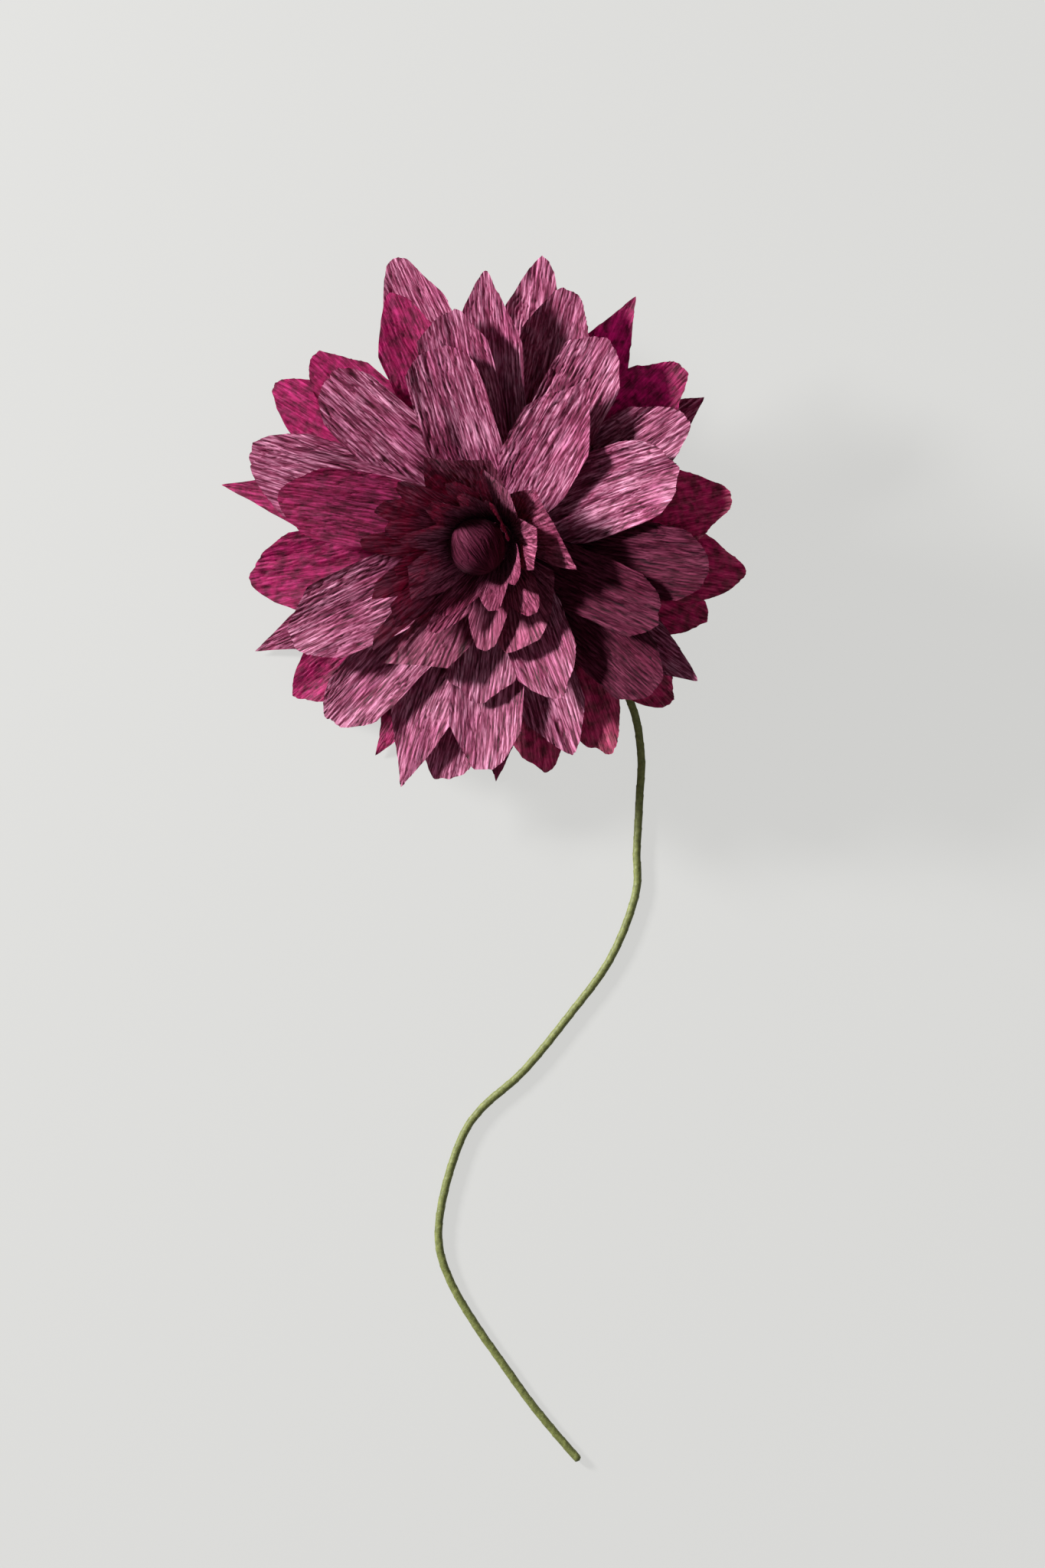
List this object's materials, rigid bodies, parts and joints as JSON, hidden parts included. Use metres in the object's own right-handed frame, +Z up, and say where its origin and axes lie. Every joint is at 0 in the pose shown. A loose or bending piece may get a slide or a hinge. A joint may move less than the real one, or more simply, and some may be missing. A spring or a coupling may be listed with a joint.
{
  "type": "giant paper flower",
  "caption": "Large handmade flower of layered crepe paper petals round a covered ball centre, on a thin tape-wrapped wire stem, lying on its back.",
  "frame": {"origin": "bottom centre of the flower's box, on the surface it lies on", "axes": "+Y along the stem towards the head, +X to the head's right as seen from above, +Z up from the table"},
  "size_m": [0.1866, 0.4366, 0.0933],
  "materials": {
    "petal_paper": "matte crepe, plum",
    "inner_paper": "matte crepe, dark plum",
    "bud_paper": "matte crepe stretched over the ball",
    "foam": "foam ball, hidden",
    "stem_tape": "waxy crepe tape, green",
    "wire": "plain, hidden"
  },
  "bodies": {
    "root": {"bud_ball": "foam", "bud_cover": "bud_paper", "calyx_wrap": "stem_tape", "core_roll": "inner_paper", "inner_strip_1": "inner_paper", "inner_strip_2": "inner_paper", "inner_strip_3": "inner_paper", "petal_01": "petal_paper", "petal_02": "petal_paper", "petal_03": "petal_paper", "petal_04": "petal_paper", "petal_05": "petal_paper", "petal_06": "petal_paper", "petal_07": "petal_paper", "petal_08": "petal_paper", "petal_09": "petal_paper", "petal_10": "petal_paper", "petal_11": "petal_paper", "petal_12": "petal_paper", "petal_13": "petal_paper", "petal_14": "petal_paper", "petal_15": "petal_paper", "petal_16": "petal_paper", "petal_17": "petal_paper", "petal_18": "petal_paper", "petal_19": "petal_paper", "petal_20": "petal_paper", "petal_21": "petal_paper", "petal_22": "petal_paper", "petal_23": "petal_paper", "petal_24": "petal_paper", "petal_25": "petal_paper", "petal_26": "petal_paper", "petal_27": "petal_paper", "petal_28": "petal_paper", "petal_29": "petal_paper", "petal_30": "petal_paper", "petal_31": "petal_paper", "petal_32": "petal_paper", "petal_33": "petal_paper", "petal_34": "petal_paper", "petal_35": "petal_paper", "petal_36": "petal_paper", "petal_37": "petal_paper", "petal_38": "petal_paper", "petal_39": "petal_paper", "petal_40": "petal_paper", "petal_41": "petal_paper", "petal_42": "petal_paper", "petal_43": "petal_paper", "petal_44": "petal_paper", "stem_tape": "stem_tape", "stem_wire": "wire"}
  },
  "joints": []
}
